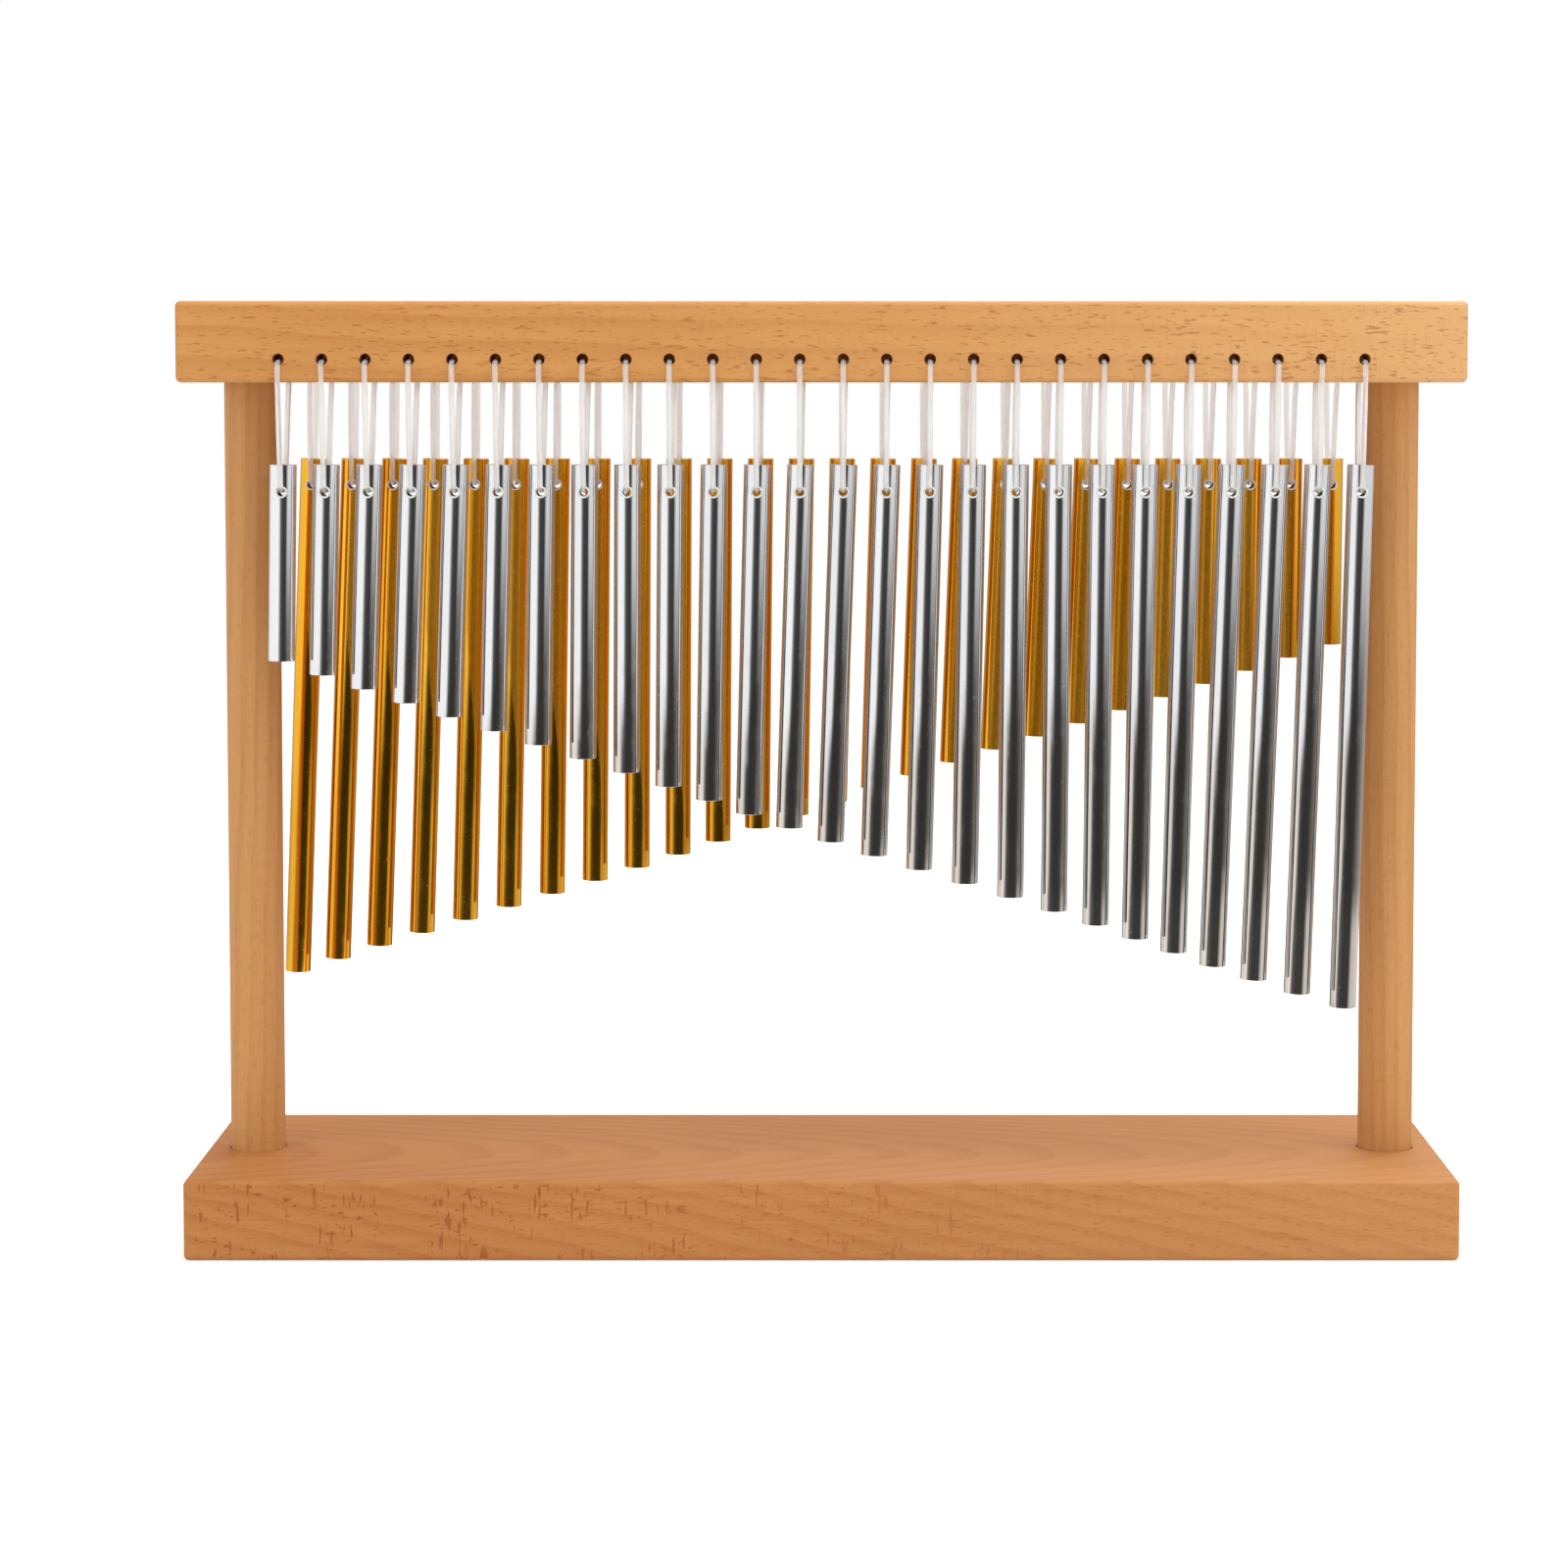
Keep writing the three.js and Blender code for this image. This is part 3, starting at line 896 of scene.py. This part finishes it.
def rounded(points):
    """The route with its corners cut again and again, which leaves a smooth curve."""
    for _ in range(CORNER_CUTS):
        cut_points = [points[0]]
        for start, end in zip(points, points[1:]):
            cut_points += [start.lerp(end, 0.25), start.lerp(end, 0.75)]
        points = [*cut_points, points[-1]]
    return points


def filled(points, gap):
    """The points with more between any two that are further apart than gap."""
    line = [points[0]]
    for start, end in zip(points, points[1:]):
        steps = max(1, math.ceil((end - start).length / gap))
        line += [start.lerp(end, step / steps) for step in range(1, steps + 1)]
    return line


def cord_along(name, path, sides):
    """A closed round tube along the path. Its UV map is once round for U, and metres along for V."""
    shape = bmesh.new()
    uv = shape.loops.layers.uv.new("UVMap")
    rings, run, normal = [], [0.0], Vector((0, 0, 1))
    for index, point in enumerate(path):
        before, after = path[max(index - 1, 0)], path[min(index + 1, len(path) - 1)]
        ahead = (after - before).normalized()
        normal = (normal - ahead * normal.dot(ahead)).normalized()
        across = ahead.cross(normal)
        turns = [2 * math.pi * step / sides for step in range(sides)]
        arms = [normal * math.cos(turn) + across * math.sin(turn) for turn in turns]
        rings.append([shape.verts.new(point + arm * CORD_DIAMETER / 2) for arm in arms])
        if index:
            run.append(run[-1] + (point - before).length)
    for index, (ring, following) in enumerate(zip(rings, rings[1:])):
        for step in range(sides):
            nxt = (step + 1) % sides
            face = shape.faces.new((ring[step], ring[nxt], following[nxt], following[step]))
            face.smooth = True
            corners = ((step, index), (step + 1, index), (step + 1, index + 1), (step, index + 1))
            for loop, (u, v) in zip(face.loops, corners):
                loop[uv].uv = (u / sides, run[v])
    shape.faces.new(reversed(rings[0]))
    shape.faces.new(rings[-1])
    mesh = bpy.data.meshes.new(name)
    shape.to_mesh(mesh)
    shape.free()
    cord = bpy.data.objects.new(name, mesh)
    bpy.context.scene.collection.objects.link(cord)
    return cord


class MESH_OT_chime_cords(bpy.types.Operator):
    """Lace each tube on its loop of cord"""

    bl_idname = "mesh.chime_cords"
    bl_label = "Cords"
    bl_options = {"REGISTER", "UNDO"}

    def execute(self, context):
        settings = context.scene.chime_cord
        material = braid_material(
            "braided cord", settings.colour, settings.painted_valley_shade, settings.strands, settings.lay
        )
        for metal, side in ROWS:
            self.lace(metal, side, settings, material)
        return {"FINISHED"}

    def lace(self, metal, side, settings, material):
        """Makes a row's loops, each from where it leaves the groove to where the next one does."""
        tubes = row_of(metal, side)
        ends = [lacing(tube.hole.x, side)[0] for tube in tubes[1:]]
        ends.append(lacing(tubes[-1].hole.x, side)[-1] + Vector((CORD_TAIL - CORD_BEND, 0, 0)))
        longest = sorted(tubes, key=lambda tube: tube.length)[-DECLARED_PER_ROW:]
        row = side * row_place()[0]
        for index, (tube, last) in enumerate(zip(tubes, ends)):
            route = [*lacing(tube.hole.x, side), last]
            if index == 0:
                route.insert(0, route[0] - Vector((CORD_TAIL, 0, 0)))
            path = filled(rounded(route), settings.ring_gap)
            cord = dress(cord_along(tube.name.replace("tube", "cord"), path, settings.sides), material)
            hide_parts(f"{metal}_row_cord")
            if tube in longest:
                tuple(path[0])
                sum((b - a).length for a, b in zip(path, path[1:]))
            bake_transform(cord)


# The wooden frame

def on_outline(low, high):
    """A test for edges of a block's outline: both ends lie on two of its faces."""

    def chosen(start, end):
        faces = 0
        for axis in range(3):
            for side in (low[axis], high[axis]):
                faces += abs(start[axis] - side) < SAME_PLACE and abs(end[axis] - side) < SAME_PLACE
        return faces >= 2

    return chosen


def on_post_axis(post, name, play, start, end):
    """A rod on a post's axis between two heights, thicker than the post by this play."""
    low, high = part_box(post)
    x, y = (low.x + high.x) / 2, (low.y + high.y) / 2
    sides = bpy.context.scene.chime_wood.post_sides
    return rod(name, high.y - low.y + play, (x, y, start), (x, y, end), sides)


def socket_cutter(post, mouth, depth):
    """A drill for one post's socket, from beyond the mouth to this depth past it."""
    return on_post_axis(post, "socket", SOCKET_PLAY, mouth - depth, mouth + depth)


def round_mouths(obj, axis, height, width, inside):
    """Rounds the mouths of the holes in one face: the edges on it that stay inside the outline."""

    def chosen(start, end):
        on_face = all(abs(point[axis] - height) < SAME_PLACE for point in (start, end))
        return on_face and inside(start) and inside(end)

    bevel_edges(obj, chosen, width, SMALL_BEVEL_STEPS)


def well_inside(low, high, margin):
    """A test for points that lie away from the four upright sides of a box."""

    def test(point):
        return low.x + margin < point.x < high.x - margin and low.y + margin < point.y < high.y - margin

    return test


class MESH_OT_chime_base_board(bpy.types.Operator):
    """Make the base board with its two sockets"""

    bl_idname = "mesh.chime_base_board"
    bl_label = "Base board"
    bl_options = {"REGISTER", "UNDO"}

    def execute(self, context):
        settings = context.scene.chime_wood
        board = block("board", BOARD_LOW, BOARD_HIGH)
        bevel_edges(board, on_outline(BOARD_LOW, BOARD_HIGH), settings.edge_radius, BOARD_BEVEL_STEPS)
        depth = BOARD_HIGH.z - BOARD_LOW.z - WOOD_BEHIND_SOCKET
        cut(board, [socket_cutter(post, BOARD_HIGH.z, depth) for post in POSTS])
        inside = well_inside(BOARD_LOW, BOARD_HIGH, 2 * settings.edge_radius)
        round_mouths(board, 2, BOARD_HIGH.z, settings.mouth_radius, inside)
        smooth(board)
        # The board grows paler towards the right end: partly sapwood, partly painted light from the right.
        dress(board, beech_material(
            "beech board", settings.board_colour, settings.board_deep, settings, pith=(-0.012, -0.030),
            taper=0.16, rays=(1.5, -0.4), sap_and_painted_light=(0.0, 0.45), dashes=0.35, calm=BOARD_HIGH.z - CALM_SKIN,
        ))
        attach(board, "frame")
        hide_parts("base_board")
        return {"FINISHED"}


class MESH_OT_chime_posts(bpy.types.Operator):
    """Turn the two posts"""

    bl_idname = "mesh.chime_posts"
    bl_label = "Posts"
    bl_options = {"REGISTER", "UNDO"}

    def execute(self, context):
        settings = context.scene.chime_wood
        material = beech_material(
            "beech post", settings.post_colour, settings.post_deep, settings, pith=(0.05, 0.03),
            taper=0.02, rays=(0.1, 0.1), sap_and_painted_light=(0.25, 0.25), dashes=0.18, calm=NO_CALM, upright=True,
        )
        for name in POSTS:
            low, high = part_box(name)
            post = on_post_axis(name, f"{name}_dowel", 0, low.z, high.z)
            bevel_edges(post, lambda a, b: abs(a.z - b.z) < SAME_PLACE, POST_BEVEL, POST_BEVEL_STEPS)
            smooth(post)
            dress(post, material)
            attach(post, "frame")
            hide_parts(name)
        return {"FINISHED"}


class MESH_OT_chime_top_rail(bpy.types.Operator):
    """Make the rail with its cord holes, its two grooves and its sockets"""

    bl_idname = "mesh.chime_top_rail"
    bl_label = "Top rail"
    bl_options = {"REGISTER", "UNDO"}

    def execute(self, context):
        settings = context.scene.chime_wood
        rail = block("rail", RAIL_LOW, RAIL_HIGH)
        bevel_edges(rail, on_outline(RAIL_LOW, RAIL_HIGH), settings.edge_radius, BOARD_BEVEL_STEPS)
        depth = RAIL_HIGH.z - RAIL_LOW.z - WOOD_BEHIND_SOCKET
        cut(rail, [socket_cutter(post, RAIL_LOW.z, depth) for post in POSTS])
        cut(rail, [self.groove(metal, side) for metal, side in ROWS])
        cut(rail, [self.cord_hole(tube) for metal, side in ROWS for tube in row_of(metal, side)])
        for face in (RAIL_LOW.y, RAIL_HIGH.y):
            round_mouths(rail, 1, face, settings.mouth_radius, self.by_cord_holes)
        inside = well_inside(RAIL_LOW, RAIL_HIGH, 2 * settings.edge_radius)
        round_mouths(rail, 2, RAIL_LOW.z, settings.mouth_radius, inside)
        smooth(rail)
        # The rail grows much paler towards the right end: partly sapwood, partly painted light from the
        # right.
        dress(rail, beech_material(
            "beech rail", settings.rail_colour, settings.rail_deep, settings, pith=(0.02, 0.30),
            taper=0.012, rays=(0.1, 0.12), sap_and_painted_light=(-0.2, 0.9), dashes=0.55, calm=RAIL_HIGH.z - CALM_SKIN,
        ))
        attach(rail, "frame")
        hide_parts("top_rail")
        return {"FINISHED"}

    def by_cord_holes(self, point):
        """A test for points at the height of the cord holes."""
        return abs(point.z - RAIL_LOW.z - RAIL_HOLE_HEIGHT) < MOUTH_REACH

    def groove(self, metal, side):
        """A cutter for one row's stopped groove in the rail's underside."""
        tubes = row_of(metal, side)
        reach = RISER_SHIFT + CORD_TAIL + GROOVE_END_ROOM
        y = side * (RAIL_HIGH.y - GROOVE_INSET)
        low = (tubes[0].hole.x - reach, y - GROOVE_WIDTH / 2, RAIL_LOW.z - GROOVE_DEPTH)
        high = (tubes[-1].hole.x + reach, y + GROOVE_WIDTH / 2, RAIL_LOW.z + GROOVE_DEPTH)
        return block("groove", low, high)

    def cord_hole(self, tube):
        """A drill for one cord hole, from outside the rail's face into the groove."""
        z = RAIL_LOW.z + RAIL_HOLE_HEIGHT
        start = (tube.hole.x, tube.side * (RAIL_HIGH.y + DRILL_PAST_FACE), z)
        end = (tube.hole.x, tube.side * (RAIL_HIGH.y - GROOVE_INSET), z)
        return rod("drill", RAIL_HOLE_DIAMETER, start, end, DRILL_SIDES)


# The tubes and their eyelets

def tube_pattern(settings, length):
    """One finished tube drawn round its cross hole, to copy."""
    top = HOLE_BELOW_TUBE_TOP
    tube = rod("tube pattern", TUBE_DIAMETER, (0, 0, top - length), (0, 0, top), settings.sides, "NOTHING")
    bpy.ops.object.mode_set(mode="EDIT")
    for height in (-TUBE_HOLE_DIAMETER, TUBE_HOLE_DIAMETER):
        bpy.ops.mesh.select_all(action="SELECT")
        bpy.ops.mesh.bisect(plane_co=(0, 0, height), plane_no=(0, 0, 1))
    bpy.ops.object.mode_set(mode="OBJECT")
    apply_modifier(tube, "SOLIDIFY", thickness=TUBE_WALL, offset=-1)
    reach = TUBE_DIAMETER
    cut(tube, [rod("drill", TUBE_HOLE_DIAMETER, (0, -reach, 0), (0, reach, 0), DRILL_SIDES)])
    ends = (top, top - length)

    def on_rim(start, end):
        level = any(abs(start.z - z) < SAME_PLACE and abs(end.z - z) < SAME_PLACE for z in ends)
        return level and abs(start.to_2d().length - end.to_2d().length) < TUBE_WALL / 2

    bevel_edges(tube, on_rim, settings.rim, SMALL_BEVEL_STEPS)
    smooth(tube)
    return tube


class MESH_OT_chime_tubes(bpy.types.Operator):
    """Cut, drill and hang the tubes of both rows"""

    bl_idname = "mesh.chime_tubes"
    bl_label = "Tubes"
    bl_options = {"REGISTER", "UNDO"}

    def execute(self, context):
        settings = context.scene.chime_tube
        silver = settings.silver_colour, settings.silver_tint, settings.silver_polish
        gold = settings.gold_colour, settings.gold_tint, settings.gold_polish
        metals = {
            "silver": metal_material("polished silver", *silver),
            "gold": metal_material("gold anodised", *gold),
        }
        pattern_length = 4 * HOLE_BELOW_TUBE_TOP
        pattern = tube_pattern(settings, pattern_length)
        for metal, side in ROWS:
            for tube in row_of(metal, side):
                pipe = own_copy(pattern, f"{tube.name}_pipe", Matrix.Identity(4))
                for vertex in pipe.data.vertices:
                    if vertex.co.z < -HOLE_BELOW_TUBE_TOP:
                        vertex.co.z -= tube.length - pattern_length
                pipe.data.transform(hang(tube))
                dress(pipe, metals[metal])
                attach(pipe, tube.name)
                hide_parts(tube.name)
        bpy.data.objects.remove(pattern)
        return {"FINISHED"}


def eyelet_profile(settings):
    """Half the section of an eyelet: how far each point is from its axis, and out from the tube."""
    bore, flange, thick = settings.bore / 2, settings.flange_diameter / 2, settings.flange_thickness
    sleeve = TUBE_HOLE_DIAMETER / 2 - SLEEVE_PLAY
    inner = -TUBE_WALL - SLEEVE_PAST_WALL
    return [
        (bore, inner),
        (sleeve, inner),
        (sleeve, FLANGE_LIFT),
        (flange - FLANGE_FOOT, FLANGE_LIFT),
        *[(flange - away, share * thick) for away, share in FLANGE_ROUNDING],
        *[(bore + away, share * thick) for away, share in BORE_ROUNDING],
    ]


def eyelet_pair(settings):
    """The two eyelets of a tube, drawn round its cross hole, to copy."""
    radius = TUBE_DIAMETER / 2
    points = [(away, -radius - out, 0) for away, out in eyelet_profile(settings)]
    eyelet = outline("eyelet pattern", points)
    bpy.ops.object.mode_set(mode="EDIT")
    spin_round(EYELET_STEPS, (0, 1, 0), SAME_PLACE)
    bpy.ops.mesh.normals_make_consistent(inside=False)
    bpy.ops.object.mode_set(mode="OBJECT")
    for vertex in eyelet.data.vertices:
        vertex.co.y += radius - math.sqrt(radius**2 - vertex.co.x**2)
    back = own_copy(eyelet, "eyelet back", Matrix.Rotation(math.pi, 4, "Z"))
    select_only(eyelet, back)
    bpy.ops.object.join()
    bpy.ops.object.shade_smooth_by_angle(angle=EYELET_SMOOTH_ANGLE)
    return eyelet


class MESH_OT_chime_eyelets(bpy.types.Operator):
    """Press the plastic eyelets into the tubes"""

    bl_idname = "mesh.chime_eyelets"
    bl_label = "Eyelets"
    bl_options = {"REGISTER", "UNDO"}

    def execute(self, context):
        settings = context.scene.chime_eyelet
        material = plastic_material("milky plastic", settings.colour, settings.shadow)
        pattern = eyelet_pair(settings)
        for metal, side in ROWS:
            for tube in row_of(metal, side):
                pair = own_copy(pattern, tube.name.replace("tube", "eyelets"), hang(tube))
                dress(pair, material)
                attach(pair, tube.name)
        bpy.data.objects.remove(pattern)
        return {"FINISHED"}


# The sidebar

SETTINGS = {
    "chime_wood": WoodSettings,
    "chime_tube": TubeSettings,
    "chime_eyelet": EyeletSettings,
    "chime_cord": CordSettings,
    "chime_stage": StageSettings,
}
OPERATORS = (
    MESH_OT_chime_stage,
    MESH_OT_chime_cords,
    MESH_OT_chime_base_board,
    MESH_OT_chime_posts,
    MESH_OT_chime_top_rail,
    MESH_OT_chime_tubes,
    MESH_OT_chime_eyelets,
)


class VIEW3D_PT_chime(bpy.types.Panel):
    """The wind chime's steps and settings"""

    bl_label = "Wind chime"
    bl_idname = "VIEW3D_PT_chime"
    bl_space_type = "VIEW_3D"
    bl_region_type = "UI"
    bl_category = "Wind chime"

    def draw(self, context):
        for operator in OPERATORS:
            self.layout.operator(operator.bl_idname)
        for name, group in SETTINGS.items():
            box = self.layout.box()
            box.label(text=group.__doc__)
            for title in group.__annotations__:
                box.prop(getattr(context.scene, name), title)


CLASSES = (*SETTINGS.values(), *OPERATORS, VIEW3D_PT_chime)


def register():
    """Adds the classes, and the settings to every scene."""
    for cls in CLASSES:
        bpy.utils.register_class(cls)
    for name, group in SETTINGS.items():
        setattr(bpy.types.Scene, name, bpy.props.PointerProperty(type=group))


def unregister():
    """Takes away what register added."""
    for name in SETTINGS:
        delattr(bpy.types.Scene, name)
    for cls in reversed(CLASSES):
        bpy.utils.unregister_class(cls)


def main():
    """Builds the stage and every piece."""
    register()
    beech_group()
    drawn_metal_group()
    bpy.ops.mesh.chime_stage()
    bpy.ops.mesh.chime_cords()
    bpy.ops.mesh.chime_base_board()
    bpy.ops.mesh.chime_posts()
    bpy.ops.mesh.chime_top_rail()
    bpy.ops.mesh.chime_tubes()
    bpy.ops.mesh.chime_eyelets()


if __name__ == "__main__":
    main()
